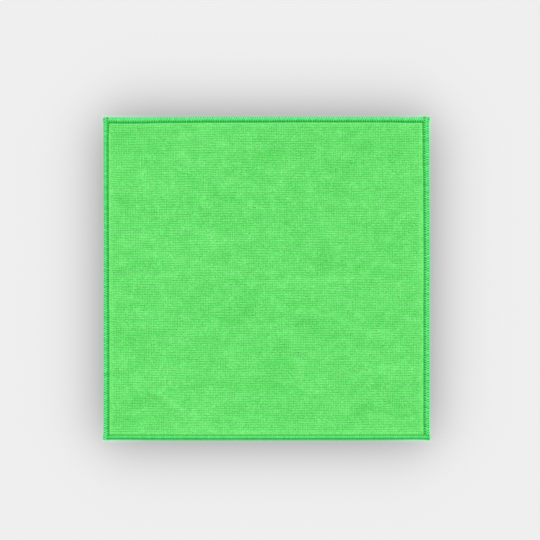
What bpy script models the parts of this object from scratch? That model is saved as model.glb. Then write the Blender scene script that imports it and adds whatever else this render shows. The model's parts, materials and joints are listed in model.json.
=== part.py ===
# A square of knitted microfibre cloth, lying flat with its face up, overlocked round all four sides.
# Metres, +Z up. X runs across the cloth and Y up it. The origin is the middle of the underside.

import math

import bmesh
import bpy

MM = 0.001

# The finished cloth, over the outside of its edging
WIDTH = 300.0 * MM
HEIGHT = 298.0 * MM

# The thread edging: a channel that wraps the cut edge of the cloth
GAP = 0.3 * MM
EDGING_THICK = 2.4 * MM
EDGING_WALL = 0.5 * MM
EDGING_LIP_DROP = 0.15 * MM
RIM_REACH = 1.5 * MM
RIM_STEPS = 6
SLOT_FLOOR = 0.8 * MM
SLOT_CLOSES_OVER = 0.2 * MM
STATIONS = 30

# How wide the thread lies on each side, from the rim to the needle line
RUN_WIDTH = {"left": 3.3 * MM, "right": 3.8 * MM, "top": 3.6 * MM, "bottom": 3.9 * MM}

# The ends of each run, at the low and at the high end of its side. A run that covers the corner goes
# past it and leans outwards, in millimetres. The others stop at the run that crosses them.
RUN_ENDS = {
    # side: (low end covers, past, lean), (high end covers, past, lean)
    "top": ((False, 0.0, 0.0), (False, 0.0, 0.0)),
    "right": ((False, 0.0, 0.0), (True, 0.3, 0.8)),
    "bottom": ((False, 0.0, 0.0), (True, 0.6, 0.4)),
    "left": ((True, 0.3, 0.6), (True, 0.4, 0.3)),
}
LEAN_OVER = 5.0 * MM
LEAN_SECTIONS = (0.25, 0.5, 0.75, 1.0)
CORNER_SWELL = 0.3
SWELL_OVER = 8.0 * MM

# The rounded end of a run that covers a corner: its length, the places of its sections as shares of
# that length, and how much of the run's thickness and width is left at its tip
END_ROUND = 1.2 * MM
END_SECTIONS = (0.0, 0.15, 0.5)
TIP_THICK = 0.45
TIP_WIDE = 0.7
SHARP_ANGLE = math.radians(50)

# The cloth across its edge, in millimetres: how far past the needle line, the face, the back.
# It is pressed thin under the thread, dips at the needle line and stands up in a soft lip inside it.
CLOTH_SECTION = (
    (0.00, 1.60, 0.80),
    (0.60, 1.62, 0.65),
    (1.25, 2.02, 0.00),
    (2.40, 2.22, 0.00),
    (5.00, 2.06, 0.00),
)
CLOTH_THICK = 2.0 * MM
FIELD_CELLS = 32
BACK_RINGS = 3

# How far each side strays outwards from straight, in millimetres: how far along it from its middle,
# how far out
STRAY = {
    "left": (
        (-149, 0.30),
        (-129, 0.05),
        (-90, -0.08),
        (-40, 0.00),
        (-5, -0.11),
        (40, -0.08),
        (80, 0.03),
        (115, 0.12),
        (149, 0.28),
    ),
    "right": (
        (-149, 0.25),
        (-125, 0.03),
        (-60, 0.04),
        (-35, -0.04),
        (15, 0.20),
        (49, 0.04),
        (80, -0.18),
        (104, -0.37),
        (118, -0.10),
        (137, -0.30),
        (149, -0.10),
    ),
    "top": (
        (-149, -0.45),
        (-115, -0.52),
        (-98, -0.20),
        (-82, -0.27),
        (-55, 0.08),
        (70, 0.04),
        (115, 0.12),
        (129, -0.22),
        (149, 0.05),
    ),
    "bottom": (
        (-149, -0.42),
        (-132, -0.38),
        (-100, 0.02),
        (-50, 0.09),
        (70, 0.03),
        (96, -0.03),
        (118, -0.28),
        (135, -0.53),
        (149, -0.30),
    ),
}

# Soft ridges and troughs in the face, in millimetres: from X, from Y, to X, to Y, how wide, how high
RELIEF = (
    (-136, -83, -99, -106, 10, 0.30),
    (-99, -106, -53, -131, 10, 0.26),
    (4, -1, 94, -1, 9, 0.16),
    (108, -99, 129, -83, 9, 0.26),
    (90, -116, 81, -134, 9, -0.28),
    (50, 39, 50, -42, 12, -0.18),
    (-2, 115, 21, 122, 12, -0.20),
    (90, 122, 92, 138, 10, -0.20),
    (-139, 124, -122, 136, 9, -0.22),
    (-122, 136, -99, 118, 9, -0.22),
    (-70, 40, -40, 75, 16, 0.14),
    (-85, -30, -60, -55, 16, -0.12),
    (100, 40, 125, 70, 15, 0.14),
)

# Slow unevenness all over the face: waves across, waves up, turn, height in millimetres
UNEVEN = ((2.0, 1.3, 0.4, 0.05), (-1.1, 2.6, 2.1, 0.05), (3.7, -3.1, 4.0, 0.04))

CLOTH_GREEN = (0.145, 0.745, 0.160, 1.0)
THREAD_GREEN = (0.115, 0.700, 0.205, 1.0)


def clear_scene():
    for obj in list(bpy.data.objects):
        bpy.data.objects.remove(obj, do_unlink=True)


def make_material(name, colour, roughness):
    material = bpy.data.materials.new(name)
    material.use_nodes = True
    shader = material.node_tree.nodes["Principled BSDF"]
    shader.inputs["Base Color"].default_value = colour
    shader.inputs["Roughness"].default_value = roughness
    shader.inputs["Metallic"].default_value = 0.0
    material.diffuse_color = colour
    return material


def eased(share):
    share = min(1.0, max(0.0, share))
    return share * share * (3.0 - 2.0 * share)


def read_curve(rows, place):
    """The table's second column at this place, eased from row to row."""
    if place <= rows[0][0]:
        return rows[0][1]
    for (start, low), (end, high) in zip(rows, rows[1:]):
        if place <= end:
            return low + (high - low) * eased((place - start) / (end - start))
    return rows[-1][1]


def strayed(x, y):
    """Where a point of the straight-sided cloth lies once its sides stray."""
    right_share = min(1.0, max(0.0, x / WIDTH + 0.5))
    top_share = min(1.0, max(0.0, y / HEIGHT + 0.5))
    out_right = read_curve(STRAY["right"], y / MM) * right_share
    out_left = read_curve(STRAY["left"], y / MM) * (1.0 - right_share)
    out_top = read_curve(STRAY["top"], x / MM) * top_share
    out_bottom = read_curve(STRAY["bottom"], x / MM) * (1.0 - top_share)
    return x + (out_right - out_left) * MM, y + (out_top - out_bottom) * MM


def from_line(x, y, row):
    """How far (x, y) lies from a relief row's line, in millimetres."""
    ax, ay, bx, by = row[:4]
    along_x, along_y = bx - ax, by - ay
    share = ((x - ax) * along_x + (y - ay) * along_y) / (along_x**2 + along_y**2)
    share = min(1.0, max(0.0, share))
    return math.hypot(x - ax - share * along_x, y - ay - share * along_y)


def face_relief(x, y):
    """How far the face stands above or below its mean height."""
    height = 0.0
    for row in RELIEF:
        height += row[5] * math.exp(-((from_line(x / MM, y / MM, row) / row[4]) ** 2))
    for across, up, turn, most in UNEVEN:
        height += most * math.sin(math.tau * (across * x / WIDTH + up * y / HEIGHT) + turn)
    return height * MM


def grid_lines(length, low_side, high_side):
    """Places across the cloth: its pressed edge, the section's rows and the even cells between."""
    tongue = SLOT_FLOOR + GAP
    low = [tongue] + [RUN_WIDTH[low_side] + row[0] * MM for row in CLOTH_SECTION]
    high = [tongue] + [RUN_WIDTH[high_side] + row[0] * MM for row in CLOTH_SECTION]
    start = low[-1] - length / 2
    end = length / 2 - high[-1]
    field = [start + (end - start) * i / FIELD_CELLS for i in range(1, FIELD_CELLS)]
    return [p - length / 2 for p in low] + field + [length / 2 - p for p in reversed(high)]


def past_needle_line(x, y):
    """How far in from the nearest needle line a point lies. It is negative under the thread."""
    return min(
        x + WIDTH / 2 - RUN_WIDTH["left"],
        WIDTH / 2 - x - RUN_WIDTH["right"],
        y + HEIGHT / 2 - RUN_WIDTH["bottom"],
        HEIGHT / 2 - y - RUN_WIDTH["top"],
    )


def cloth_heights(x, y):
    """The heights of the face and of the back at a point."""
    past = past_needle_line(x, y) / MM
    face = read_curve([(row[0], row[1]) for row in CLOTH_SECTION], past) * MM
    back = read_curve([(row[0], row[2]) for row in CLOTH_SECTION], past) * MM
    edge, field = CLOTH_SECTION[1][0], CLOTH_SECTION[-1][0]
    share = eased((past - edge) / (field - edge))
    flat = CLOTH_THICK - CLOTH_SECTION[-1][1] * MM
    return face + share * (flat + face_relief(x, y)), back


def finish_mesh(name, bm, material):
    """One object from a closed bmesh, with its faces outwards and its round parts smooth."""
    bmesh.ops.recalc_face_normals(bm, faces=bm.faces)
    mesh = bpy.data.meshes.new(name)
    bm.to_mesh(mesh)
    bm.free()
    mesh.materials.append(material)
    mesh.shade_smooth()
    mesh.set_sharp_from_angle(angle=SHARP_ANGLE)
    obj = bpy.data.objects.new(name, mesh)
    bpy.context.scene.collection.objects.link(obj)
    return obj


def build_cloth(material):
    xs = grid_lines(WIDTH, "left", "right")
    ys = grid_lines(HEIGHT, "bottom", "top")
    last_x, last_y = len(xs) - 1, len(ys) - 1
    bm = bmesh.new()
    face, back = {}, {}
    for i, x in enumerate(xs):
        for j, y in enumerate(ys):
            top, under = cloth_heights(x, y)
            place = strayed(x, y)
            face[i, j] = bm.verts.new((*place, top))
            if min(i, last_x - i, j, last_y - j) <= BACK_RINGS:
                back[i, j] = bm.verts.new((*place, under))
    for i in range(last_x):
        for j in range(last_y):
            corners = ((i, j), (i + 1, j), (i + 1, j + 1), (i, j + 1))
            bm.faces.new([face[c] for c in corners])
            if min(i, last_x - 1 - i, j, last_y - 1 - j) < BACK_RINGS:
                bm.faces.new([back[c] for c in corners])
    close_rim(bm, face, back, around(0, 0, last_x, last_y))
    flat = around(BACK_RINGS, BACK_RINGS, last_x - BACK_RINGS, last_y - BACK_RINGS)
    bm.faces.new([back[c] for c in flat])
    return finish_mesh("cloth", bm, material)


def around(low_i, low_j, high_i, high_j):
    """The grid points round a rectangle, in order."""
    points = [(i, low_j) for i in range(low_i, high_i)]
    points += [(high_i, j) for j in range(low_j, high_j)]
    points += [(i, high_j) for i in range(high_i, low_i, -1)]
    points += [(low_i, j) for j in range(high_j, low_j, -1)]
    return points


def close_rim(bm, face, back, rim):
    for a, b in zip(rim, rim[1:] + rim[:1]):
        bm.faces.new((face[a], face[b], back[b], back[a]))


def edging_section(width, slot_open):
    """The channel's outline as (in from the rim, height), round from the upper lip to the slot."""
    middle = EDGING_THICK / 2
    upper = EDGING_THICK - EDGING_WALL
    outline = [(width, upper), (width, EDGING_THICK - EDGING_LIP_DROP)]
    for step in range(RIM_STEPS + 1):
        angle = math.pi * (0.5 - step / RIM_STEPS)
        outline.append((RIM_REACH * (1 - math.cos(angle)), middle + middle * math.sin(angle)))
    outline += [(width, 0.0), (width, EDGING_WALL)]
    if slot_open:
        outline += [(SLOT_FLOOR, EDGING_WALL), (SLOT_FLOOR, upper)]
    return outline


def side_length(side):
    return WIDTH if side in ("top", "bottom") else HEIGHT


def neighbours(side):
    """The sides that this one meets at its low and at its high end."""
    return ("left", "right") if side in ("top", "bottom") else ("bottom", "top")


def run_end(side, covers, past, neighbour):
    """An end's sections past its slot, from the tip inwards, and where the slot opens."""
    half = side_length(side) / 2
    if not covers:
        return [], half - RUN_WIDTH[neighbour] - GAP
    slot_opens = half - SLOT_FLOOR
    sections = [half + past * MM - END_ROUND * share for share in END_SECTIONS]
    return sections + [slot_opens + SLOT_CLOSES_OVER], slot_opens


def run_stations(side):
    """Places along a run, and whether the slot is open at each."""
    low_end, high_end = RUN_ENDS[side]
    low_side, high_side = neighbours(side)
    low_tip, low_open = run_end(side, low_end[0], low_end[1], low_side)
    high_tip, high_open = run_end(side, high_end[0], high_end[1], high_side)
    step = (low_open + high_open) / STATIONS
    open_places = [step * i - low_open for i in range(STATIONS + 1)]
    for share in LEAN_SECTIONS:
        open_places += [LEAN_OVER * share - low_open, high_open - LEAN_OVER * share]
    stations = [(-place, False) for place in low_tip]
    stations += [(place, True) for place in sorted(open_places)]
    stations += [(place, False) for place in reversed(high_tip)]
    return stations


def shaped(side, along, inwards, height):
    """A point of the channel's section, swollen, leaning and rounded off near a covered corner."""
    half = side_length(side) / 2
    middle = EDGING_THICK / 2
    for sign, (covers, past, lean) in zip((-1, 1), RUN_ENDS[side]):
        from_end = half + past * MM - sign * along
        if not covers or from_end > SWELL_OVER:
            continue
        rim_share = 1 - inwards / RUN_WIDTH[side]
        inwards -= lean * MM * rim_share * eased(1 - from_end / LEAN_OVER)
        if height > middle:
            height += (height - middle) * CORNER_SWELL * eased(1 - from_end / SWELL_OVER)
        if from_end < END_ROUND:
            share = math.sqrt(max(0.0, 1 - (1 - from_end / END_ROUND) ** 2))
            height = middle + (height - middle) * (TIP_THICK + (1 - TIP_THICK) * share)
            centre = RUN_WIDTH[side] / 2
            inwards = centre + (inwards - centre) * (TIP_WIDE + (1 - TIP_WIDE) * share)
    return inwards, height


def place_on_side(side, along, inwards):
    return {
        "top": (along, HEIGHT / 2 - inwards),
        "bottom": (along, inwards - HEIGHT / 2),
        "right": (WIDTH / 2 - inwards, along),
        "left": (inwards - WIDTH / 2, along),
    }[side]


def build_run(side, material):
    bm = bmesh.new()
    loops = []
    for along, slot_open in run_stations(side):
        loop = []
        for point in edging_section(RUN_WIDTH[side], slot_open):
            inwards, height = shaped(side, along, *point)
            loop.append(bm.verts.new((*strayed(*place_on_side(side, along, inwards)), height)))
        if not slot_open:
            loop += [loop[-1], loop[0]]
        loops.append(loop)
    for first, second in zip(loops, loops[1:]):
        join_loops(bm, first, second)
    for loop in (loops[0], loops[-1]):
        bm.faces.new(without_repeats(loop))
    return finish_mesh(f"overlock_{side}", bm, material)


def without_repeats(corners):
    return list(dict.fromkeys(corners))


def join_loops(bm, first, second):
    """Skins between two sections. Where the slot closes, its two inner corners are its lips."""
    count = len(first)
    for k in range(count):
        after = (k + 1) % count
        corners = without_repeats((first[k], first[after], second[after], second[k]))
        if len(corners) > 2:
            bm.faces.new(corners)


def main():
    clear_scene()
    cloth = make_material("green_microfibre", CLOTH_GREEN, 0.95)
    thread = make_material("green_thread", THREAD_GREEN, 0.8)
    build_cloth(cloth)
    for side in ("top", "right", "bottom", "left"):
        build_run(side, thread)


main()
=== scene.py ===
# Looks of a flat green microfibre cloth: a knitted sheet, its short pile of loops and an overlocked edge.
# Metres, +Z up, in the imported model's own frame. X runs across the cloth and Y up it.
import json
import math

import bmesh
import bpy
import numpy as np
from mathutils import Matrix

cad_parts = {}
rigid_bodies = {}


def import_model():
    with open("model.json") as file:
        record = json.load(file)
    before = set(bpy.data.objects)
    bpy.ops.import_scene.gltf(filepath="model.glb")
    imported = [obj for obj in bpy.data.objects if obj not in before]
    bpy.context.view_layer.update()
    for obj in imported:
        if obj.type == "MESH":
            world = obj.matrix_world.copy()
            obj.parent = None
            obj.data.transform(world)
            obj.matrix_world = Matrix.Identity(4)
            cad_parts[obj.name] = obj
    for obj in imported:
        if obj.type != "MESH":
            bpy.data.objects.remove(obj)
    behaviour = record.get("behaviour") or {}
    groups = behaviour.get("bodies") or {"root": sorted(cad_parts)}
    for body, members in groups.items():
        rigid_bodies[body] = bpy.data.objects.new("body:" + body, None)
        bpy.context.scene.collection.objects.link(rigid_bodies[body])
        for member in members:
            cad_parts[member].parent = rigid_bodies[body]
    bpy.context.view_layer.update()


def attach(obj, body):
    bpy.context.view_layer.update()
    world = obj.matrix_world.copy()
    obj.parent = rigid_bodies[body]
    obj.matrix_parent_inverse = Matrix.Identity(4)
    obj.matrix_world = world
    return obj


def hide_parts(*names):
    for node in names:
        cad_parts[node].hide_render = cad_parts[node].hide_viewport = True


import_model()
mm = 0.001

sides = ("top", "right", "bottom", "left")

# The cloth lies straight here first. Everything is made on this straight plan and then strays as one.
cloth = {
    "width": 300.0 * mm,
    "height": 298.0 * mm,
    "thick": 2.0 * mm,
    "tongue": 1.1 * mm,  # from the rim to the cut edge, inside the thread
    "coursePitch": 2.16 * mm,  # rows of loops, up the cloth
    "walePitch": 2.18 * mm,  # loops along a row
    "loopsStart": 2.40,  # mm past the needle line
    "seamLines": (-0.2, 0.1, 0.4, 0.7, 1.0, 1.3, 1.65, 2.0),  # mm past it
    "groundDepth": 0.22 * mm,  # how far the ground lies below the tops of the loops
    "ribDepth": 0.04 * mm,  # how far the ground dips between two rows
    "backRib": 0.16 * mm,
    "groundRise": (1.6, 1.6),  # it sinks from here, over this, in mm past the needle line
    "drift": 0.55 * mm,  # how far the rows wander from straight
    "driftRise": (1.0, 12.0),  # they begin to here, over this, in mm past it
    "lipPale": 1.1,  # how pale the soft lip beside the seams is
    "lipRise": (0.9, 0.6),  # it gets pale from here, over this, in mm past it
    "lipFall": (2.4, 4.0),  # and fades from here, over this
    "groundPaintedShade": -0.8,  # painted shade: how much darker the ground between the loops is, in steps of tone
    "loopPaintedLightAndShade": 0.7,  # painted light and shade: how much paler a loop's top is than its middle, and its lower side darker
    "gapShade": 0.20,  # painted shade: how far the ground and the loops' feet go towards the shaded colour
    "patchTone": 0.55,
    # painted light on the creases' ridges and painted shade in their troughs
    "creasePaintedLightAndShade": 0.6,
    "creaseHeight": 0.08 * mm,
}

# across the cloth's edge, mm: past the needle line, face, back
clothSection = (
    (0.00, 1.45, 0.80),
    (0.60, 1.40, 0.60),
    (1.20, 1.96, 0.00),
    (2.20, 2.20, 0.00),
    (5.50, 2.06, 0.00),
)

# painted shade in each seam's groove: how deep, how far past the needle line its middle lies, and how wide
# (mm)
grooveShade = {
    "left": (1.0, 0.55, 1.0),
    "right": (0.9, 0.55, 1.0),
    "top": (1.0, 0.55, 1.0),
    "bottom": (0.4, 1.0, 1.7),
}

# across the groove's painted shade: widths from its middle, share of its depth
grooveSection = ((-2.4, 0.0), (-0.7, 0.45), (-0.35, 1.0), (0.2, 1.0), (0.85, 0.0))

# the edging's width on each side, from the rim to the needle line
runWidth = {"left": 3.85 * mm, "right": 4.25 * mm, "top": 4.2 * mm, "bottom": 3.9 * mm}

# how far each needle line wanders inwards, mm: along it from its middle, in
wanderRows = {
    "left": (
        (-149, 0.60), (-124, 0.40), (-100, 0.22), (-36, 0.26), (-22, -0.08), (15, -0.12),
        (45, -0.27), (80, -0.28), (110, -0.17), (128, -0.20), (143, 0.40), (149, 0.45),
    ),
    "right": (
        (-149, 0.05), (-100, 0.00), (-20, -0.05), (60, 0.02), (95, -0.05),
        (110, 0.45), (128, 0.50), (143, 0.75), (149, 0.80),
    ),
    "top": (
        (-149, 0.35), (-127, 0.50), (-112, 0.34), (-98, 0.34), (-83, 0.09), (-53, 0.16),
        (-9, 0.10), (25, -0.08), (85, -0.06), (110, 0.08), (128, 0.08), (149, 0.25),
    ),
    "bottom": ((-149, -0.50), (-128, -0.40), (-100, -0.05), (100, -0.05), (132, -0.45), (149, -0.45)),
}

# how far each side strays outwards, mm: along it from its middle, out
strayRows = {
    "left": (
        (-149, 0.30), (-129, 0.05), (-90, -0.08), (-40, 0.00), (-5, -0.11),
        (40, -0.08), (80, 0.03), (115, 0.12), (149, 0.28),
    ),
    "right": (
        (-149, 0.25), (-125, 0.03), (-60, 0.04), (-35, -0.04), (15, 0.20), (49, 0.04),
        (80, -0.18), (104, -0.37), (118, -0.10), (137, -0.30), (149, -0.10),
    ),
    "top": (
        (-149, -0.45), (-115, -0.52), (-98, -0.20), (-82, -0.27), (-55, 0.08),
        (70, 0.04), (115, 0.12), (129, -0.22), (149, 0.05),
    ),
    "bottom": (
        (-149, -0.42), (-132, -0.38), (-100, 0.02), (-50, 0.09), (70, 0.03),
        (96, -0.03), (118, -0.28), (135, -0.53), (149, -0.30),
    ),
}

# soft ridges and troughs, mm: from X, from Y, to X, to Y, how wide, how high
reliefRows = (
    (-136, -83, -99, -106, 10, 0.30),
    (-99, -106, -53, -131, 10, 0.26),
    (4, -1, 94, -1, 9, 0.16),
    (108, -99, 129, -83, 9, 0.26),
    (90, -116, 81, -134, 9, -0.28),
    (50, 39, 50, -42, 12, -0.18),
    (-2, 115, 21, 122, 12, -0.20),
    (90, 122, 92, 138, 10, -0.20),
    (-139, 124, -122, 136, 9, -0.22),
    (-122, 136, -99, 118, 9, -0.22),
    (-70, 40, -40, 75, 16, 0.14),
    (-85, -30, -60, -55, 16, -0.12),
    (100, 40, 125, 70, 15, 0.14),
)

# narrow creases, mm: from X, from Y, to X, to Y, how wide, and how high and how much painted light on top
# (painted shade where below 0)
creaseRows = (
    (4, -4, 45, -1, 2.2, 1.2),
    (45, -1, 90, 0, 2.2, 1.1),
    (-137, -81, -104, -104, 2.8, 1.2),
    (-104, -104, -77, -121, 2.6, 1.9),
    (-77, -121, -54, -134, 2.8, 1.2),
    (-95, 136, -77, 113, 3.2, 0.8),
    (-77, 113, -61, 90, 3.2, 0.8),
    (-91, 72, -54, 53, 3.0, 0.7),
    (-52, 46, -50, 25, 3.0, 0.6),
    (-52, 35, -12, 37, 3.0, 0.5),
    (-135, 32, -112, 37, 3.4, 0.8),
    (-137, -16, -118, -18, 3.0, 1.0),
    (-128, -46, -105, -39, 3.0, 0.7),
    (72, -48, 131, -53, 3.0, 0.6),
    (112, -77, 94, -95, 3.0, 0.8),
    (-31, 84, -12, 66, 3.0, 0.5),
    (20, 100, 8, 84, 2.8, 0.6),
    (-47, 76, -24, 71, 3.2, -1.2),
    (-137, 70, -103, 76, 3.4, -0.9),
    (-60, -33, -38, -37, 3.2, -0.9),
    (-38, -37, 1, -27, 3.2, -0.7),
    (103, -34, 117, -39, 4.2, -0.7),
    (82, -127, 94, -115, 3.6, -1.2),
    (52, 39, 54, 7, 5.0, -0.5),
    (-128, -55, -105, -47, 3.2, -0.6),
    (-25, 60, -18, 46, 3.4, -0.8),
    (-140, 132, -118, 136, 3.6, -0.9),
    (-118, 136, -103, 122, 3.6, -0.8),
    (40, -38, 44, -52, 4.0, -0.8),
    (75, 108, 82, 107, 1.2, -1.6),
    (99, 82, 111, 84, 3.2, -0.8),
    (-119, 118, -94, 115, 3.2, -0.7),
)

# slow unevenness all over: waves across, waves up, turn, height in mm
unevenWaves = ((2.0, 1.3, 0.4, 0.05), (-1.1, 2.6, 2.1, 0.05), (3.7, -3.1, 4.0, 0.04))

# how the rows and columns of loops wander: waves across, waves up, turn, share of the drift
driftWaves = (
    (1.3, 0.7, 0.9, 0.35),
    (-1.6, 5.8, 3.3, 0.35),
    (2.3, 11.1, 1.7, 0.50),
    (-3.1, 13.3, 0.4, 0.45),
)

# places where the pile lies paler or darker, mm: X, Y, wide, high, how much
pilePatches = (
    (9, 119, 15, 10, -1.6),
    (91, 120, 9, 9, -1.5),
    (117, 116, 13, 9, -0.8),
    (-128, 70, 14, 7, -0.8),
    (-35, 74, 12, 5, -0.7),
    (-15, 53, 12, 8, -0.7),
    (50, 16, 9, 30, -0.5),
    (50, -37, 15, 12, -0.7),
    (3, -90, 15, 24, -1.0),
    (89, -119, 10, 11, -0.9),
    (128, -119, 8, 8, -0.9),
    (-123, -118, 22, 9, -0.9),
    (105, -36, 12, 6, -0.8),
    (-26, -32, 28, 5, -0.3),
    (-123, -53, 12, 8, -0.6),
    (-100, 118, 14, 6, -0.6),
    (18, 79, 15, 9, -0.6),
    (126, 47, 10, 8, -0.6),
    (-31, -131, 15, 8, -0.6),
    (30, 10, 38, 110, -0.25),
    (-109, 95, 13, 13, 0.9),
    (-121, 35, 12, 8, 0.7),
    (-86, 19, 15, 12, 0.7),
    (-54, 30, 5, 22, 0.3),
    (38, 35, 8, 10, 0.8),
    (108, 53, 10, 8, 0.8),
    (48, -81, 19, 13, 0.6),
    (119, -90, 13, 8, 0.8),
    (-86, -90, 19, 12, 0.7),
    (-77, 113, 8, 13, 0.7),
    (140, 12, 8, 14, 0.8),
    (-132, -16, 10, 6, 0.8),
    (49, 0, 45, 2.5, 0.5),
)


def eased(share):
    share = np.clip(share, 0.0, 1.0)
    return share * share * (3.0 - 2.0 * share)


def rise(value, start, over):
    # 0 up to the start, and eased up to 1 from there
    return eased((value - start) / over)


def readCurve(rows, place):
    # the second column at these places, eased from row to row
    at = np.array([row[0] for row in rows], float)
    value = np.array([row[1] for row in rows], float)
    k = np.clip(np.searchsorted(at, place, side="right") - 1, 0, len(at) - 2)
    share = eased((place - at[k]) / (at[k + 1] - at[k]))
    return value[k] + (value[k + 1] - value[k]) * share


def strayed(x, y):
    # where a point of the straight plan lies once the sides stray
    rightShare = np.clip(x / cloth["width"] + 0.5, 0.0, 1.0)
    topShare = np.clip(y / cloth["height"] + 0.5, 0.0, 1.0)
    outRight = readCurve(strayRows["right"], y / mm) * rightShare
    outLeft = readCurve(strayRows["left"], y / mm) * (1.0 - rightShare)
    outTop = readCurve(strayRows["top"], x / mm) * topShare
    outBottom = readCurve(strayRows["bottom"], x / mm) * (1.0 - topShare)
    return x + (outRight - outLeft) * mm, y + (outTop - outBottom) * mm


def waves(x, y, rows):
    total = np.zeros_like(x)
    for across, up, turn, most in rows:
        turns = across * x / cloth["width"] + up * y / cloth["height"]
        total += most * np.sin(math.tau * turns + turn)
    return total


def softLines(x, y, rows):
    # a soft ridge or trough along each row's line
    total = np.zeros_like(x)
    for ax, ay, bx, by, wide, most in rows:
        alongX, alongY = bx - ax, by - ay
        share = ((x / mm - ax) * alongX + (y / mm - ay) * alongY) / (alongX**2 + alongY**2)
        share = np.clip(share, 0.0, 1.0)
        away = np.hypot(x / mm - ax - share * alongX, y / mm - ay - share * alongY)
        total += most * np.exp(-((away / wide) ** 2))
    return total


def faceRelief(x, y):
    creases = cloth["creaseHeight"] * softLines(x, y, creaseRows)
    return (waves(x, y, unevenWaves) + softLines(x, y, reliefRows)) * mm + creases


def pastNeedleLines(x, y):
    # how far in from each side's needle line, in mm, negative under the thread
    halfWidth, halfHeight = cloth["width"] / 2, cloth["height"] / 2
    fromRims = {
        "top": halfHeight - y,
        "right": halfWidth - x,
        "bottom": y + halfHeight,
        "left": x + halfWidth,
    }
    past = {}
    for side, inwards in fromRims.items():
        along = x if side in ("top", "bottom") else y
        past[side] = (inwards - runWidth[side]) / mm - readCurve(wanderRows[side], along / mm)
    return past


def pastNeedleLine(x, y):
    return np.min(list(pastNeedleLines(x, y).values()), axis=0)


def faceAndBack(x, y):
    # the heights of the face and the back. The relief begins past the thread.
    past = pastNeedleLine(x, y)
    face = readCurve([(row[0], row[1]) for row in clothSection], past) * mm
    back = readCurve([(row[0], row[2]) for row in clothSection], past) * mm
    seam, field = clothSection[1][0], clothSection[-1][0]
    share = rise(past, seam, field - seam)
    flat = cloth["thick"] - clothSection[-1][1] * mm
    return face + share * (flat + faceRelief(x, y)), back


def drifted(x, y):
    # rows and columns wander in the field and lie still at the seams
    reach = rise(pastNeedleLine(x, y), *cloth["driftRise"]) * cloth["drift"]
    moveX = reach * waves(y, x, driftWaves)
    moveY = reach * waves(x, y, driftWaves)
    return x + moveX, y + moveY


def newObject(name, mesh, material=None):
    obj = bpy.data.objects.new(name, mesh)
    bpy.context.scene.collection.objects.link(obj)
    if material is not None:
        mesh.materials.append(material)
    return obj


def readPlaces(mesh):
    places = np.zeros(len(mesh.vertices) * 3)
    mesh.vertices.foreach_get("co", places)
    return places.reshape(-1, 3)


def writePlaces(mesh, places):
    mesh.vertices.foreach_set("co", places.astype(np.float32).ravel())
    mesh.update()


def writeAttribute(mesh, name, values):
    attribute = mesh.attributes.get(name) or mesh.attributes.new(name, "FLOAT", "POINT")
    attribute.data.foreach_set("value", np.asarray(values, np.float32))


def layFlatMap(mesh, across, up):
    # a map seen from straight above, so that what is painted by place keeps its place
    corner = np.zeros(len(mesh.loops), np.int32)
    mesh.loops.foreach_get("vertex_index", corner)
    for name in [layer.name for layer in mesh.uv_layers]:
        mesh.uv_layers.remove(mesh.uv_layers[name])
    layer = mesh.uv_layers.new(name="OFBake")
    u = (across - across.min()) / (across.max() - across.min())
    v = (up - up.min()) / (up.max() - up.min())
    layer.uv.foreach_set("vector", np.stack([u[corner], v[corner]], 1).astype(np.float32).ravel())


def putTopLast(mesh):
    # faces lie on each other on the flat map. The last one is painted, so the highest comes last.
    bm = bmesh.new()
    bm.from_mesh(mesh)
    bm.faces.sort(key=lambda face: face.calc_center_median().z)
    bm.to_mesh(mesh)
    bm.free()


class Nodes:
    # a small hand at node trees: node("ShaderNodeMath", ...) makes a node and links or sets its inputs
    def node(self, kind, inputs=(), **settings):
        made = self.tree.nodes.new(kind)
        for key, value in settings.items():
            setattr(made, key, value)
        for key, value in dict(inputs).items():
            self.feed(made.inputs[key], value)
        return made

    def feed(self, socket, value):
        if isinstance(value, bpy.types.NodeSocket):
            self.tree.links.new(value, socket)
        else:
            socket.default_value = value

    def math(self, kind, a, b=0.0, c=0.0):
        return self.node("ShaderNodeMath", {0: a, 1: b, 2: c}, operation=kind).outputs[0]


class Paint(Nodes):
    # a material's tree round its one shader
    def __init__(self, name):
        self.material = bpy.data.materials.new(name)
        self.material.use_nodes = True
        self.tree = self.material.node_tree
        self.shader = self.tree.nodes["Principled BSDF"]

    def times(self, a, b):
        return self.node("ShaderNodeVectorMath", {0: a, 1: b}, operation="MULTIPLY").outputs[0]

    def onePlus(self, a, scale):
        # white, and as much of the colour as the scale says
        scaled = self.node("ShaderNodeVectorMath", {0: a, "Scale": scale}, operation="SCALE")
        white = {0: scaled.outputs[0], 1: (1.0, 1.0, 1.0)}
        return self.node("ShaderNodeVectorMath", white, operation="ADD").outputs[0]

    def noise(self, place, size, rough=0.5):
        made = self.node("ShaderNodeTexNoise", {"Vector": place, "Scale": 1.0 / size})
        made.inputs["Detail"].default_value = 2.0
        made.inputs["Roughness"].default_value = rough
        return made.outputs["Fac"]

    def shift(self, value, low, high):
        # 0..1 to low..high
        made = self.node("ShaderNodeMapRange", {"Value": value, "To Min": low, "To Max": high})
        return made.outputs["Result"]


clothLook = {
    "colour": (0.158, 0.802, 0.171),
    "shaded": (0.02, 0.56, 0.13),  # the colour under painted shade, as a share of the colour
    "roughness": 0.95,
    "sheen": 0.12,
    "sheenRoughness": 0.45,
    "specular": 0.2,
    "drawn": (0.4, 1.3, 1.0),  # the blotches are drawn out across the cloth
    "blotch": (17.0 * mm, 0.65),  # size, how much
    "mottle": (7.0 * mm, 0.40),
    "fleck": (1.5 * mm, 2.0),
    "fibre": 0.28 * mm,
    "fibreRough": 0.6,
    "fibreBump": (0.12 * mm, 0.6),  # height, strength
}

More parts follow.
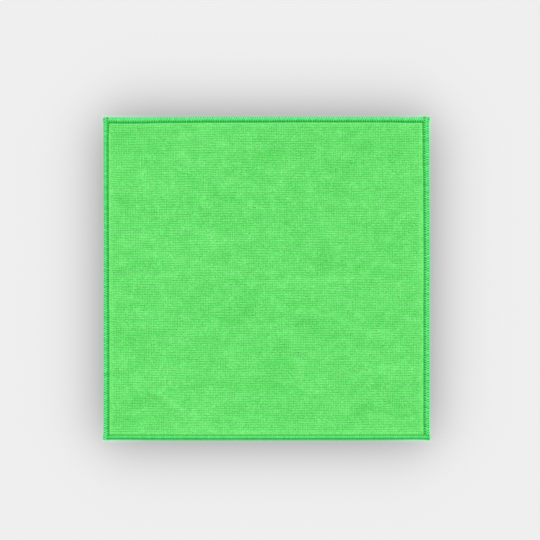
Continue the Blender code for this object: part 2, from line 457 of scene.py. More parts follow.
threadLook = {
    "colour": (0.150, 0.930, 0.265),
    "shaded": (0.02, 0.53, 0.12),
    "roughness": 0.62,
    "sheen": 0.15,
    "sheenRoughness": 0.4,
    "specular": 0.3,
    "drawn": (1.0, 1.0, 1.0),
    "blotch": (9.0 * mm, 0.5),
    "mottle": (3.0 * mm, 0.7),
    "fleck": (1.2 * mm, 0.8),
    "fibre": 0.22 * mm,
    "fibreRough": 0.6,
    "fibreBump": (0.08 * mm, 0.6),
}

palerBy = (0.175, 0.064, 0.165)  # one step of tone, as shares of red, green and blue


def softMaterial(name, look):
    # dyed fibre, paler and darker in blotches, mottling and flecks; its tone also carries painted light and
    # shade, and painted shade turns it a deep green in the groove, the gaps, on the rim and between
    # stitches
    paint = Paint(name)
    place = paint.node("ShaderNodeTexCoord").outputs["Object"]
    drawn = paint.times(place, look["drawn"])
    # the tone: random differences, and painted light and shade, in steps of palerBy
    tone = paint.node("ShaderNodeAttribute", attribute_name="tone").outputs["Fac"]
    for where, key in ((drawn, "blotch"), (drawn, "mottle"), (place, "fleck")):
        size, amount = look[key]
        spots = paint.shift(paint.noise(where, size), -2 * amount, 2 * amount)
        tone = paint.math("ADD", tone, spots)
    dyed = paint.times(paint.onePlus(palerBy, tone), look["colour"])
    # the painted shade's colour, mixed in by the painted shade attribute
    deep = paint.times(dyed, look["shaded"])
    groove = paint.node("ShaderNodeAttribute", attribute_name="groove").outputs["Fac"]
    # a Mix node's sockets for vectors are 4, 5 and 1
    colour = paint.node("ShaderNodeMix", {"Factor": groove}, data_type="VECTOR")
    paint.feed(colour.inputs[4], dyed)
    paint.feed(colour.inputs[5], deep)
    shader = paint.shader.inputs
    paint.feed(shader["Base Color"], colour.outputs[1])
    shader["Roughness"].default_value = look["roughness"]
    shader["Sheen Weight"].default_value = look["sheen"]
    shader["Sheen Roughness"].default_value = look["sheenRoughness"]
    shader["Specular IOR Level"].default_value = look["specular"]
    fibres = paint.noise(place, look["fibre"], look["fibreRough"])
    height, strength = look["fibreBump"]
    bump = paint.node("ShaderNodeBump", {"Height": fibres, "Distance": height, "Strength": strength})
    paint.feed(shader["Normal"], bump.outputs["Normal"])
    return paint.material


microfibre = softMaterial("green microfibre", clothLook)
edgingThread = softMaterial("green edging thread", threadLook)
print("materials ready")


def loopPlaces(length, low, high, pitch):
    # even places for loops between the two seams
    start = runWidth[low] + cloth["loopsStart"] * mm - length / 2
    end = length / 2 - runWidth[high] - cloth["loopsStart"] * mm
    return np.linspace(start, end, round((end - start) / pitch) + 1)


columns = loopPlaces(cloth["width"], "left", "right", cloth["walePitch"])
rows = loopPlaces(cloth["height"], "bottom", "top", cloth["coursePitch"])


def edgeLines(length, low, high):
    # the lines under the thread and over the seam's groove
    past = np.array(cloth["seamLines"])
    lowLines = np.concatenate([[cloth["tongue"]], runWidth[low] + past * mm]) - length / 2
    highLines = length / 2 - np.concatenate([[cloth["tongue"]], runWidth[high] + past * mm])
    return lowLines, highLines[::-1]


def makeGround(material):
    # the knit under the loops: a rib under each row, a dip between two, and ribs on the back
    lowX, highX = edgeLines(cloth["width"], "left", "right")
    lowY, highY = edgeLines(cloth["height"], "bottom", "top")
    ribs = np.zeros(len(rows) * 2 - 1)
    ribs[0::2] = rows
    ribs[1::2] = (rows[1:] + rows[:-1]) / 2
    xs = np.concatenate([lowX, columns, highX])
    ys = np.concatenate([lowY, ribs, highY])
    trough = np.concatenate([np.zeros(len(lowY)), np.arange(len(ribs)) % 2, np.zeros(len(highY))])
    x, y = np.meshgrid(xs, ys, indexing="ij")
    face, back = faceAndBack(x, y)
    deep = rise(pastNeedleLine(x, y), *cloth["groundRise"])
    face -= deep * (cloth["groundDepth"] + cloth["ribDepth"] * trough[None, :])
    back += deep * cloth["backRib"] * trough[None, :]
    px, py = strayed(*drifted(x, y))
    count = x.size
    places = np.concatenate([
        np.stack([px.ravel(), py.ravel(), face.ravel()], 1),
        np.stack([px.ravel(), py.ravel(), back.ravel()], 1),
    ])
    index = np.arange(count).reshape(x.shape)
    a, b, c, d = index[:-1, :-1], index[1:, :-1], index[1:, 1:], index[:-1, 1:]
    quads = [np.stack([a, b, c, d], -1).reshape(-1, 4)]
    quads.append(np.stack([d, c, b, a], -1).reshape(-1, 4) + count)
    rim = np.concatenate([index[:-1, 0], index[-1, :-1], index[:0:-1, -1], index[0, :0:-1]])
    after = np.roll(rim, -1)
    quads.append(np.stack([rim, rim + count, after + count, after], 1))
    mesh = bpy.data.meshes.new("microfibre_sheet")
    mesh.from_pydata(places.tolist(), [], np.concatenate(quads).tolist())
    mesh.shade_smooth()
    # painted shade on the ground between the loops, deeper where the ground sinks
    bothX, bothY, bothDeep = [np.concatenate([values.ravel()] * 2) for values in (x, y, deep)]
    writeTones(mesh, bothX, bothY, cloth["groundPaintedShade"] * bothDeep, cloth["gapShade"] * bothDeep)
    layFlatMap(mesh, places[:, 0], places[:, 1])
    putTopLast(mesh)
    return newObject("microfibre_sheet", mesh, material)


def grooveOf(side, past):
    # how much painted shade, this far past the side's needle line
    depth, middle, wide = grooveShade[side]
    return depth * readCurve(grooveSection, (past - middle) / wide)


def writeTones(mesh, x, y, tone, shade):
    # where the pile lies paler or darker, with painted light and shade on the creases and from the caller,
    # and the painted shade of a gap or a seam's groove
    past = pastNeedleLine(x, y)
    lip = rise(past, *cloth["lipRise"]) * (1.0 - rise(past, *cloth["lipFall"]))
    tone = tone + cloth["lipPale"] * lip
    for across, up, wide, high, amount in pilePatches:
        near = np.exp(-(((x / mm - across) / wide) ** 2) - ((y / mm - up) / high) ** 2)
        tone += cloth["patchTone"] * amount * near
    tone += cloth["creasePaintedLightAndShade"] * softLines(x, y, creaseRows)
    writeAttribute(mesh, "tone", tone)
    paintedGrooveShades = [grooveOf(side, past) for side, past in pastNeedleLines(x, y).items()]
    writeAttribute(mesh, "groove", np.max([shade, *paintedGrooveShades], axis=0))


ground = makeGround(microfibre)
print("knitted ground:", len(columns), "x", len(rows), "loops to come")


class Tree(Nodes):
    # a Geometry Nodes tree with named inputs. Their identifiers are kept for the modifier.
    def __init__(self, name, sizes):
        self.tree = bpy.data.node_groups.new(name, "GeometryNodeTree")
        face = self.tree.interface
        face.new_socket("Geometry", in_out="INPUT", socket_type="NodeSocketGeometry")
        face.new_socket("Geometry", in_out="OUTPUT", socket_type="NodeSocketGeometry")
        self.ids = {}
        for key, value in sizes.items():
            made = face.new_socket(key, in_out="INPUT", socket_type="NodeSocketFloat")
            made.default_value = value
            self.ids[key] = made.identifier
        made = face.new_socket("Seed", in_out="INPUT", socket_type="NodeSocketInt")
        self.ids["Seed"] = made.identifier
        self.start = self.tree.nodes.new("NodeGroupInput")
        self.end = self.tree.nodes.new("NodeGroupOutput")

    def size(self, key):
        return self.start.outputs[key]

    def vector(self, x, y, z):
        return self.node("ShaderNodeCombineXYZ", {0: x, 1: y, 2: z}).outputs[0]

    def random(self, low, high, offset):
        # a different number for each point, always the same for the same seed
        seed = self.math("ADD", self.size("Seed"), float(offset))
        made = self.node("FunctionNodeRandomValue", {"Seed": seed}, data_type="FLOAT")
        self.feed(made.inputs[2], low)
        self.feed(made.inputs[3], high)
        return made.outputs[1]

    def spread(self, key, offset):
        # a random number as far each way as the named input
        return self.random(self.math("MULTIPLY", self.size(key), -1.0), self.size(key), offset)

    def patch(self, place, key, pattern):
        # soft patches, 0 outside and 1 inside. The lower the named input, the more patches there are.
        scale = self.math("DIVIDE", 1.0, self.size("Patch Size"))
        noise = self.node("ShaderNodeTexNoise", {"Vector": place, "Scale": scale}, noise_dimensions="4D")
        noise.inputs["W"].default_value = pattern
        noise.inputs["Detail"].default_value = 1.0
        start = self.size(key)
        end = self.math("ADD", start, self.size("Patch Border"))
        inside = {"Value": noise.outputs[0], "From Min": start, "From Max": end}
        return self.node("ShaderNodeMapRange", inside).outputs[0]

    def finish(self, shapes, material):
        joined = self.node("GeometryNodeJoinGeometry")
        for shape in shapes:
            self.tree.links.new(shape, joined.inputs[0])
        real = self.node("GeometryNodeRealizeInstances", {0: joined.outputs[0]})
        smooth = self.node("GeometryNodeSetShadeSmooth", {0: real.outputs[0]})
        worn = self.node("GeometryNodeSetMaterial", {0: smooth.outputs[0], "Material": material})
        self.tree.links.new(worn.outputs[0], self.end.inputs[0])


def grow(obj, tree, sizes, seed):
    # runs a tree on an object and leaves the result as its plain mesh
    modifier = obj.modifiers.new("grow", "NODES")
    modifier.node_group = tree.tree
    for key, value in sizes.items():
        modifier[tree.ids[key]] = value
    modifier[tree.ids["Seed"]] = seed
    seen = obj.evaluated_get(bpy.context.evaluated_depsgraph_get())
    mesh = bpy.data.meshes.new_from_object(seen)
    obj.modifiers.remove(modifier)
    obj.data = mesh
    mesh.name = obj.name
    return mesh


def pointMesh(name, places):
    mesh = bpy.data.meshes.new(name)
    mesh.from_pydata(places.tolist(), [], [])
    return mesh


# the named inputs of the pile's tree. One loop is a bent bean, and patches of loops lie differently.
pile = {
    "Loop Wide": 2.55 * mm,
    "Loop Long": 2.35 * mm,
    "Loop Tall": 0.60 * mm,
    "Rise": 0.30,
    "Thin Ends": -0.40,
    "Uneven": 0.10,
    "Turn": 0.08,
    "Tilt": 0.10,
    "Patch Size": 9.0 * mm,
    "Patch Border": 0.10,
    "Combed From": 0.56,
    "Dotted From": 0.40,
    "Shrink": 0.30,
    "Smooth From": 0.48,
    "Swell": 0.50,
    "Sway": 0.12 * mm,
}
pileSeed = 7

# how the loops lie beside the seams, and how far down the painted shade on their feet goes
pileLie = {
    "sunk": 0.12 * mm,
    "sunkTo": 1.9,  # mm past the needle line
    "sunkOver": 1.4,
    "darkest": -1.5,  # in heights of a loop's top over its middle
}


def pileTree(material):
    # one low bean-shaped loop on each point, wider or longer by patches, none quite like the next
    tree = Tree("pile loops", pile)
    ends = {"Start": (-0.5, 0.0, 0.0), "End": (0.5, 0.0, 0.0)}
    line = tree.node("GeometryNodeCurvePrimitiveLine", ends)
    line = tree.node("GeometryNodeResampleCurve", {"Curve": line.outputs[0], "Count": 4})
    share = tree.node("GeometryNodeSplineParameter").outputs["Factor"]
    fromMiddle = tree.math("MULTIPLY_ADD", share, 2.0, -1.0)
    away = tree.math("MULTIPLY", fromMiddle, fromMiddle)
    drop = tree.math("MULTIPLY", away, tree.math("MULTIPLY", tree.size("Rise"), -1.0))
    bent = tree.node("GeometryNodeSetPosition", {0: line.outputs[0], "Offset": tree.vector(0.0, 0.0, drop)})
    radius = tree.math("MULTIPLY_ADD", away, tree.size("Thin Ends"), 1.0)
    ring = tree.node("GeometryNodeCurvePrimitiveCircle", {"Resolution": 5, "Radius": 0.5})
    bean = tree.node("GeometryNodeCurveToMesh", {"Curve": bent.outputs[0], "Fill Caps": True})
    tree.feed(bean.inputs["Profile Curve"], ring.outputs[0])
    tree.feed(bean.inputs["Scale"], radius)
    points = tree.node("GeometryNodeMeshToPoints", {0: tree.start.outputs[0]})
    sway = tree.vector(tree.spread("Sway", 1), tree.spread("Sway", 2), 0.0)
    moved = tree.node("GeometryNodeSetPosition", {0: points.outputs[0], "Offset": sway})
    place = tree.node("GeometryNodeInputPosition").outputs[0]
    # the loops lie in rows. In patches they are combed into columns, stand apart as dots or swell smooth.
    combed = tree.math("ROUND", tree.patch(place, "Combed From", 5.0))
    dotted = tree.math("MULTIPLY", tree.patch(place, "Dotted From", 9.0), tree.size("Shrink"))
    smooth = tree.math("MULTIPLY", tree.patch(place, "Smooth From", 0.0), tree.size("Swell"))
    wide = tree.math("SUBTRACT", tree.math("ADD", 1.0, tree.spread("Uneven", 3)), dotted)
    long = tree.math("ADD", tree.math("ADD", 1.0, tree.spread("Uneven", 4)), smooth)
    tall = tree.math("ADD", 1.0, tree.spread("Uneven", 5))
    scale = tree.vector(
        tree.math("MULTIPLY", wide, tree.size("Loop Wide")),
        tree.math("MULTIPLY", long, tree.size("Loop Long")),
        tree.math("MULTIPLY", tall, tree.size("Loop Tall")),
    )
    heading = tree.math("MULTIPLY_ADD", combed, math.pi / 2, tree.spread("Turn", 7))
    turned = tree.vector(tree.spread("Tilt", 6), tree.spread("Tilt", 8), heading)
    loops = tree.node(
        "GeometryNodeInstanceOnPoints",
        {"Points": moved.outputs[0], "Instance": bean.outputs[0], "Rotation": turned, "Scale": scale},
    )
    tree.finish([loops.outputs[0]], material)
    return tree


def settlePile(mesh):
    # from the straight plan to its place on the cloth, with its tops at the height of the face
    places = readPlaces(mesh)
    x, y = places[:, 0], places[:, 1]
    face, _ = faceAndBack(x, y)
    face -= eased((pileLie["sunkTo"] - pastNeedleLine(x, y)) / pileLie["sunkOver"]) * pileLie["sunk"]
    top = 0.5 * pile["Loop Tall"]
    high = places[:, 2] / top
    # painted light on the loops' tops and painted shade on their feet
    tone = cloth["loopPaintedLightAndShade"] * np.clip(high, pileLie["darkest"], 1.0)
    writeTones(mesh, x, y, tone, cloth["gapShade"] * np.clip(-high, 0.0, 1.0))
    px, py = strayed(*drifted(x, y))
    places = np.stack([px, py, face + places[:, 2] - top], 1)
    writePlaces(mesh, places)
    layFlatMap(mesh, px, py)
    putTopLast(mesh)


def makePile(material):
    # in four quarters
    tree = pileTree(material)
    x, y = [grid.ravel() for grid in np.meshgrid(columns, rows, indexing="ij")]
    made = []
    for name, chosen in (
        ("pile_top_left", (x < 0) & (y >= 0)),
        ("pile_top_right", (x >= 0) & (y >= 0)),
        ("pile_bottom_left", (x < 0) & (y < 0)),
        ("pile_bottom_right", (x >= 0) & (y < 0)),
    ):
        places = np.stack([x[chosen], y[chosen], np.zeros(chosen.sum())], 1)
        obj = newObject(name, pointMesh(name, places))
        mesh = grow(obj, tree, pile, pileSeed + len(made))
        settlePile(mesh)
        made.append(obj)
        print(name, len(mesh.polygons), "faces")
    return made


pilePieces = makePile(microfibre)


edging = {
    "gap": 0.3 * mm,  # from an uncovering end to the run that covers it
    "thick": 2.4 * mm,
    "wall": 0.5 * mm,
    "lipDrop": 0.15 * mm,
    "rimReach": 1.5 * mm,
    "rimSteps": 6,
    "shoulder": 0.76,  # where the channel is highest, as a share of the width
    "shoulderRise": 0.04 * mm,
    "slotFloor": 0.8 * mm,
    "slotClosesOver": 0.2 * mm,
    "mouth": 0.05 * mm,  # what is left of the slot's depth where it is shut
    "stations": 60,
    "inset": 0.22 * mm,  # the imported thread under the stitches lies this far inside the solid
    "sink": 0.22 * mm,  # and this much deeper on the face
    "reachUnder": 1.3 * mm,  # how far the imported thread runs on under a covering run
    "leanOver": 5.0 * mm,
    "swell": 0.3,
    "swellOver": 8.0 * mm,
    "endRound": 1.2 * mm,
    "endSections": (0.4 * mm, 0.12 * mm, 0.0),  # back from a covering run's tip
    "endRoom": 0.3 * mm,  # from an end to its first stitch
    "tipThick": 0.45,
    "tipWide": 0.7,
    "lowest": 0.02 * mm,  # no thread lies lower than this
    "wanderRise": (0.2, 0.7),  # the thread follows the needle line from here, over this share of the width
    "rimDrop": {"bottom": 0.55},  # how much lower the rim lies there than the needle line, as a share
    "rimDropOver": 0.8,
    "rimPaintedLightAndShade": 0.9,  # painted light and shade: the rim this much paler than the middle, and the side by the groove as much darker
    "rimInset": 0.25 * mm,  # the stitches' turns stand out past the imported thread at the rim
    "rimFade": 0.9,  # mm over which a painted shade line on the rim fades
    "needleFrom": 1.04,  # the needle thread lies past this share of the width
    "needleShade": 0.55,  # and has this share of the groove's painted shade
    "tipShade": 0.45,  # painted shade on a covering run's last stitch, at its very end
    "tipFade": (0.4, 1.0),  # from here, over this, in mm from the end
    "notchShade": 0.75,  # and painted shade on the rim, where it bends over the other run
    "notch": (2.6, 0.9),  # mm from the end, and how wide
    "notchFade": (0.1, 0.25),  # from here, over this share of the width
    "packedShade": {"top": 0.8, "right": 1.0, "bottom": 0.3, "left": 1.0},  # painted shade on the packed thread between stitches
    "purlShade": 0.8,  # how much painted shade the thread has half-way down the rim
    "purlReach": 0.5 * mm,
    "stitchTone": {"top": 1.3, "right": 2.4, "bottom": 1.3, "left": 2.2},  # how unlike two stitches are
    "stitchesAtMost": 200,  # each way from a run's middle
}

# each run's low and high end: covers the corner, how far past it, how far it leans out (mm)
runEnds = {
    "top": ((False, 0.0, 0.0), (False, 0.0, 0.0)),
    "right": ((False, 0.0, 0.0), (True, 0.3, 0.8)),
    "bottom": ((False, 0.0, 0.0), (True, 0.6, 0.4)),
    "left": ((True, 0.3, 0.6), (True, 0.4, 0.3)),
}

# a painted shade line on the rim: how deep, from and to in mm
rimShade = {"bottom": (0.95, 1.1, 2.2), "top": (0.2, -1.0, 0.7)}

# the named inputs of the stitches' tree
stitch = {
    "Pitch": 2.18 * mm,
    "Thread": 0.50 * mm,  # the loopers' radius
    "Needle Thread": 0.38 * mm,
    "Sway": 0.10 * mm,
    "Uneven": 0.07,
}
stitchSeed = 11

# one stitch of the upper looper: along (shares of the pitch), in (shares of the width), height (mm)
looperPath = (
    (0.02, 1.04, 1.15),
    (0.07, 0.90, 1.84),
    (0.19, 0.64, 2.14),
    (0.34, 0.42, 2.12),
    (0.42, 0.05, 1.58),
    (0.56, 0.03, 1.52),
    (0.64, 0.40, 2.10),
    (0.81, 0.62, 2.14),
    (0.93, 0.90, 1.84),
    (0.98, 1.04, 1.15),
)

# one stitch of the needle thread, lying in the groove over the loopers' ends
needlePath = (
    (0.68, 1.10, 1.10),
    (0.79, 1.11, 1.62),
    (1.00, 1.12, 1.82),
    (1.21, 1.11, 1.62),
    (1.32, 1.10, 1.10),
)

# one purl where the two loopers lock round the rim, deep between two turns
purlPath = (
    (0.58, 0.12, 1.30),
    (0.98, 0.09, 1.12),
    (1.38, 0.12, 1.20),
)


def neighbours(side):
    # the sides at a run's low and high end
    return ("left", "right") if side in ("top", "bottom") else ("bottom", "top")


def halfLength(side):
    return (cloth["width"] if side in ("top", "bottom") else cloth["height"]) / 2


def runReach(side):
    # where a run's slot opens and where it ends, at its low and its high end
    half = halfLength(side)
    reach = []
    for (covers, past, _), other in zip(runEnds[side], neighbours(side)):
        if covers:
            reach.append((half - edging["slotFloor"], half + past * mm))
        else:
            stops = half - runWidth[other] - edging["gap"]
            reach.append((stops, stops))
    return reach


def shaped(side, along, inwards, height):
    # swollen, leaning outwards and rounded off near a covered corner
    half, middle = halfLength(side), edging["thick"] / 2
    for sign, (covers, past, lean) in zip((-1, 1), runEnds[side]):
        if not covers:
            continue
        fromEnd = half + past * mm - sign * along
        rimShare = 1 - inwards / runWidth[side]
        inwards = inwards - lean * mm * rimShare * eased(1 - fromEnd / edging["leanOver"])
        swell = edging["swell"] * eased(1 - fromEnd / edging["swellOver"])
        height = np.where(height > middle, height + (height - middle) * swell, height)
        near = np.clip(1 - fromEnd / edging["endRound"], 0.0, 1.0)
        share = np.sqrt(1 - near**2)
        tipThick = edging["tipThick"] + (1 - edging["tipThick"]) * share
        tipWide = edging["tipWide"] + (1 - edging["tipWide"]) * share
        height = np.where(near > 0, middle + (height - middle) * tipThick, height)
        centre = runWidth[side] / 2
        inwards = np.where(near > 0, centre + (inwards - centre) * tipWide, inwards)
    return inwards, height


def placeOnSide(side, along, inwards):
    if side == "top":
        return along, cloth["height"] / 2 - inwards
    if side == "bottom":
        return along, inwards - cloth["height"] / 2
    if side == "right":
        return cloth["width"] / 2 - inwards, along
    return inwards - cloth["width"] / 2, along


def endShade(side, along, inShare):
    # painted shade on the thread at the ends that cover a corner: at the tip, and in a notch on the rim
    shade = np.zeros_like(along)
    for sign, (covers, past, _) in zip((-1, 1), runEnds[side]):
        if covers:
            fromEnd = (halfLength(side) - sign * along) / mm + past
            tip = 1.0 - rise(fromEnd, *edging["tipFade"])
            middle, wide = edging["notch"]
            onRim = 1.0 - rise(inShare, *edging["notchFade"])
            notch = np.exp(-(((fromEnd - middle) / wide) ** 2)) * onRim
            shade = np.maximum(shade, edging["tipShade"] * tip + edging["notchShade"] * notch)
    return shade


def threadShade(side, along, flat, height, wander):
    # painted shade on the thread: in the seam's groove, on the rim, between two turns and at the ends
    inShare = flat / runWidth[side]
    shade = grooveOf(side, (flat - runWidth[side]) / mm)
    shade = np.where(inShare > edging["needleFrom"], shade * edging["needleShade"], shade)
    if side in rimShade:
        most, start, end = rimShade[side]
        over = edging["rimFade"]
        inFromRim = (flat - wander) / mm
        line = rise(inFromRim, start - over / 2, over) * (1.0 - rise(inFromRim, end - over / 2, over))
        shade = np.maximum(shade, most * line)
    shade = np.maximum(shade, endShade(side, along, inShare))
    between = 1.0 - eased(np.abs(height - edging["thick"] / 2) / edging["purlReach"])
    return np.maximum(shade, np.where(inShare < 0.5, between * edging["purlShade"], 0.0))


def stitchTones(side, along):
    # how much paler or darker each stitch is than the next
    most = edging["stitchesAtMost"]
    chance = np.random.default_rng(stitchSeed + sides.index(side)).uniform(0.0, 1.0, 2 * most + 1)
    number = np.floor(along / stitch["Pitch"]) + most
    return edging["stitchTone"][side] * np.diff(chance)[number.astype(int)]


def settleRun(mesh, side):
    # from a straight run to its place round the cloth's edge, with its tones, painted light and painted
    # shade
    along, flat, height = readPlaces(mesh).T
    inShare = flat / runWidth[side]
    wander = readCurve(wanderRows[side], along / mm) * mm
    followed = flat + wander * rise(inShare, *edging["wanderRise"])
    inwards, high = shaped(side, along, followed, height)
    rimDrop = edging["rimDrop"].get(side, 0.0) * (1.0 - eased(inShare / edging["rimDropOver"]))
    high = np.where(high > edging["wall"], high - rimDrop * (high - edging["wall"]), high)
    high = np.maximum(high, edging["lowest"])
    x, y = strayed(*placeOnSide(side, along, inwards))
    writePlaces(mesh, np.stack([x, y, high], 1))
    packed = np.zeros(len(mesh.vertices))
    mesh.attributes["packed"].data.foreach_get("value", packed)
    shade = threadShade(side, along, flat, height, wander)
    writeAttribute(mesh, "groove", np.maximum(shade, packed * edging["packedShade"][side]))
    # painted light on the rim and painted shade by the groove, and a random tone for each stitch
    tone = edging["rimPaintedLightAndShade"] * (1.0 - 2.0 * np.clip(inShare, 0.0, 1.0))
    writeAttribute(mesh, "tone", tone + stitchTones(side, along) * (1.0 - packed))
    layFlatMap(mesh, along, inwards)
    if side in ("top", "left"):  # these two are laid mirrored
        mesh.flip_normals()
    putTopLast(mesh)


def coreSection(width, slotFloor):
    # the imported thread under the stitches: (in from the rim, height)
    inset, wall = edging["inset"], edging["wall"]
    rim, reach = edging["rimInset"], edging["rimReach"]
    middle = edging["thick"] / 2
    upper = edging["thick"] - wall
    shoulder = edging["shoulder"] * width
    outline = [
        (width - inset, upper - edging["lipDrop"]),
        (width - inset, upper),
        (shoulder, upper + edging["shoulderRise"]),
    ]
    for step in range(edging["rimSteps"] + 1):
        angle = math.pi * (0.5 - step / edging["rimSteps"])
        high = middle - inset - (edging["sink"] if angle > 0 else 0.0)
        outline.append((rim + (reach - rim) * (1 - math.cos(angle)), middle + high * math.sin(angle)))
    outline += [
        (shoulder, inset),
        (width - inset, wall - inset),
        (width - inset, wall),
        (slotFloor, wall),
        (slotFloor, upper - edging["lipDrop"]),
    ]
    return outline


def coreEnd(opens, ends):
    # how far the slot stays open towards one end, and the places past it where the thread is solid
    if opens == ends:
        return ends + edging["reachUnder"], []
    tip = ends - edging["rimInset"]
    solid = [opens + edging["slotClosesOver"]]
    solid += [tip - gap for gap in edging["endSections"]]
    return opens, solid


def makeCore(side):
    # the channel under the stitches, closed at both ends. It is solid past the cloth's corner.
    # An uncovering end runs on to meet the run that covers it.
    lowReach, highReach = runReach(side)
    low, lowSolid = coreEnd(*lowReach)
    high, highSolid = coreEnd(*highReach)
    slotShut = runWidth[side] - edging["inset"] - edging["mouth"]
    stations = [(-along, slotShut) for along in reversed(lowSolid)]
    stations += [(along, edging["slotFloor"]) for along in np.linspace(-low, high, edging["stations"] + 1)]
    stations += [(along, slotShut) for along in highSolid]
    bm = bmesh.new()
    loops = []
    for along, slotFloor in stations:
        section = coreSection(runWidth[side], slotFloor)
        loops.append([bm.verts.new((along, inwards, height)) for inwards, height in section])
    for first, second in zip(loops, loops[1:]):
        for k in range(len(first)):
            after = (k + 1) % len(first)
            bm.faces.new((first[k], first[after], second[after], second[k]))
    for loop in (loops[0], loops[-1]):
        bm.faces.new(loop)
    bmesh.ops.recalc_face_normals(bm, faces=bm.faces)
    mesh = bpy.data.meshes.new("core")
    bm.to_mesh(mesh)
    bm.free()
    writeAttribute(mesh, "packed", np.ones(len(mesh.vertices)))
    return mesh


def pathObject(name, path, width):
    # a row of points that a thread follows, one stitch long, as loose edges
    pitch = stitch["Pitch"]
    places = [(share * pitch, inShare * width, height * mm) for share, inShare, height in path]
    mesh = bpy.data.meshes.new(name)
    mesh.from_pydata(places, [(k, k + 1) for k in range(len(places) - 1)], [])
    return newObject(name, mesh)


def stitchTree(paths, count, first, material):
    # the same few threads again and again along the run: over the face, under the back, in the groove
    tree = Tree("overlock stitches", stitch)
    start = tree.vector(first, 0.0, 0.0)
    step = tree.vector(tree.size("Pitch"), 0.0, 0.0)
    shapes = [tree.start.outputs[0]]
    for k, (obj, thread, bridges) in enumerate(paths):
        # a thread that bridges two stitches is there one time fewer
        many = count - 1 if bridges else count
        line = tree.node("GeometryNodeMeshLine", {"Count": many, "Start Location": start, "Offset": step})
        points = tree.node("GeometryNodeMeshToPoints", {0: line.outputs[0]})
        path = tree.node("GeometryNodeObjectInfo", {"Object": obj})
        curve = tree.node("GeometryNodeMeshToCurve", {0: path.outputs["Geometry"]})
        section = {"Resolution": 5, "Radius": tree.size(thread)}
        ring = tree.node("GeometryNodeCurvePrimitiveCircle", section)
        tube = tree.node("GeometryNodeCurveToMesh", {"Curve": curve.outputs[0], "Fill Caps": True})
        tree.feed(tube.inputs["Profile Curve"], ring.outputs[0])
        sway = tree.vector(tree.spread("Sway", 3 * k), 0.0, 0.0)
        moved = tree.node("GeometryNodeSetPosition", {0: points.outputs[0], "Offset": sway})
        scale = tree.vector(tree.math("ADD", 1.0, tree.spread("Uneven", 3 * k + 1)), 1.0, 1.0)
        placed = tree.node(
            "GeometryNodeInstanceOnPoints",
            {"Points": moved.outputs[0], "Instance": tube.outputs[0], "Scale": scale},
        )
        shapes.append(placed.outputs[0])
    tree.finish(shapes, material)
    return tree


def onTheBack(path):
    # the lower looper follows the same way under the cloth
    return [(share, inShare, edging["thick"] / mm - height) for share, inShare, height in path]


def makeRun(side, material):
    # as many whole stitches as the run has room for, on its packed thread
    (_, lowEnd), (_, highEnd) = runReach(side)
    width = runWidth[side]
    room = lowEnd + highEnd - 2 * edging["endRoom"]
    count = int(room / stitch["Pitch"])
    sizes = dict(stitch, Pitch=room / count)
    obj = newObject(f"overlock_thread_{side}", makeCore(side))
    # each thread's path, its radius, and whether it bridges two stitches
    paths = [
        (pathObject("upper looper", looperPath, width), "Thread", False),
        (pathObject("lower looper", onTheBack(looperPath), width), "Thread", False),
        (pathObject("needle thread", needlePath, width), "Needle Thread", True),
        (pathObject("purl", purlPath, width), "Needle Thread", True),
    ]
    tree = stitchTree(paths, count, edging["endRoom"] - lowEnd, material)
    mesh = grow(obj, tree, sizes, stitchSeed + sides.index(side))
    for helper, _, _ in paths:
        bpy.data.objects.remove(helper)
    settleRun(mesh, side)
    print(obj.name, count, "stitches", len(mesh.polygons), "faces")
    return obj


runs = [makeRun(side, edgingThread) for side in sides]

# what each piece stands for
for obj in [ground, *pilePieces]:
    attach(obj, "root")
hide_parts("cloth")
for side, obj in zip(sides, runs):
    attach(obj, "root")
    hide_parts(f"overlock_{side}")


# the floor and its light
studio = {
    "floorSide": 8.0,
    "floorGrey": 0.863,
    "shadeReach": 24.9 * mm,  # how softly the shade round the cloth fades
    "shadeSlope": 0.851,
    "shadeDepth": 0.43,
    "shadePower": 2.25,  # from the brightness seen to the grey of the floor
    "bounce": (-0.04, 0.30, 0.10),  # the light that the cloth throws on the floor beside it
    "bounceReach": 1.7 * mm,
    "world": 0.64,
    "sunShare": 0.36,
    "sunHeight": math.radians(48),
    "sunSoft": math.radians(40),
}


def floorMaterial():
    # plain pale grey, with a soft shade all round the cloth and a faint green light beside it
    paint = Paint("pale floor")
    place = paint.node("ShaderNodeTexCoord").outputs["Object"]
    apart = paint.node("ShaderNodeSeparateXYZ", {0: place})
    outs, shades = [], []
    for axis, half in ((0, cloth["width"] / 2), (1, cloth["height"] / 2)):
        out = paint.math("SUBTRACT", paint.math("ABSOLUTE", apart.outputs[axis]), half)
        fade = paint.math("TANH", paint.math("MULTIPLY", out, studio["shadeSlope"] / studio["shadeReach"]))
        outs.append(out)
        shades.append(paint.math("MULTIPLY_ADD", fade, -0.5, 0.5))
    shade = paint.math("MULTIPLY", shades[0], shades[1])
    seen = paint.math("MULTIPLY_ADD", shade, -studio["shadeDepth"], 1.0)
    grey = paint.math("MULTIPLY", paint.math("POWER", seen, studio["shadePower"]), studio["floorGrey"])
    steps = paint.math("DIVIDE", paint.math("MAXIMUM", outs[0], outs[1]), studio["bounceReach"])
    near = paint.math("EXPONENT", paint.math("MULTIPLY", paint.math("MULTIPLY", steps, steps), -1.0))
    tint = paint.onePlus(studio["bounce"], near)
    colour = paint.node("ShaderNodeVectorMath", {0: tint, "Scale": grey}, operation="SCALE")
    paint.feed(paint.shader.inputs["Base Color"], colour.outputs[0])
    paint.shader.inputs["Roughness"].default_value = 1.0
    paint.shader.inputs["Specular IOR Level"].default_value = 0.0
    return paint.material


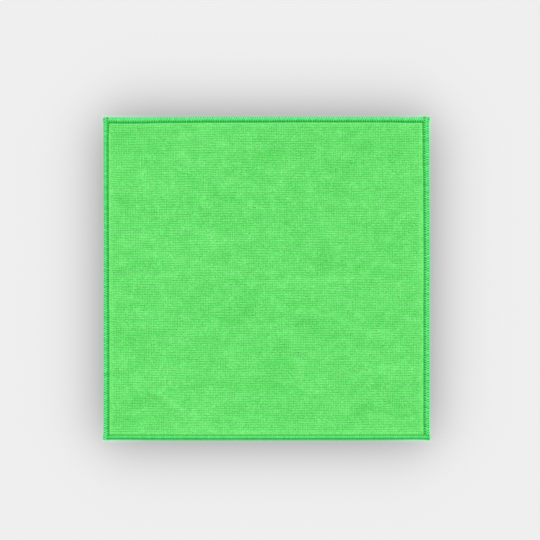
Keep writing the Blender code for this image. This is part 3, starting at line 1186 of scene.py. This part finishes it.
def makeFloor():
    half = studio["floorSide"] / 2
    corners = [(-half, -half, 0), (half, -half, 0), (half, half, 0), (-half, half, 0)]
    mesh = bpy.data.meshes.new("floor")
    mesh.from_pydata(corners, [], [(0, 1, 2, 3)])
    floor = newObject("floor", mesh, floorMaterial())
    return floor


def makeSun(name, shadows, receivers):
    # the same soft window twice: one shades the cloth, and one lights the floor evenly
    sun = bpy.data.lights.new(name, "SUN")
    sun.energy = studio["sunShare"] * math.pi / math.sin(studio["sunHeight"])
    sun.angle = studio["sunSoft"]
    sun.use_shadow = shadows
    obj = bpy.data.objects.new(name, sun)
    obj.rotation_euler = (-(math.pi / 2 - studio["sunHeight"]), 0.0, 0.0)
    bpy.context.scene.collection.objects.link(obj)
    lit = bpy.data.collections.new(f"lit by {name}")
    for receiver in receivers:
        lit.objects.link(receiver)
    obj.light_linking.receiver_collection = lit


def makeLight(floor):
    # an even white room, in which the camera sees the floor's grey all round, and the window's light
    world = bpy.data.worlds.new("studio")
    bpy.context.scene.world = world
    world.use_nodes = True
    nodes, links = world.node_tree.nodes, world.node_tree.links
    background = nodes["Background"]
    seen = nodes.new("ShaderNodeMix")
    seen.data_type = "FLOAT"
    seen.inputs[2].default_value = studio["world"]
    seen.inputs[3].default_value = studio["floorGrey"]
    links.new(nodes.new("ShaderNodeLightPath").outputs["Is Camera Ray"], seen.inputs[0])
    links.new(seen.outputs[0], background.inputs["Strength"])
    background.inputs["Color"].default_value = (1.0, 1.0, 1.0, 1.0)
    makeSun("window", True, [ground, *pilePieces, *runs])
    makeSun("window on the floor", False, [floor])


view = {
    "side": 498.2 * mm,  # what the square picture spans
    "centre": (3.3 * mm, 7.9 * mm),
    "far": 2.0,
    "sensor": 36.0,
    "clipEnd": 50.0,
}


def makeCamera():
    # straight above, looking down
    lens = bpy.data.cameras.new("camera")
    lens.sensor_width = view["sensor"]
    lens.lens = view["sensor"] * view["far"] / view["side"]
    lens.clip_end = view["clipEnd"]
    camera = bpy.data.objects.new("camera", lens)
    camera.location = (*view["centre"], view["far"])
    bpy.context.scene.collection.objects.link(camera)
    bpy.context.scene.camera = camera


makeLight(makeFloor())
makeCamera()
bpy.context.scene.view_settings.view_transform = "Standard"
print("studio ready")
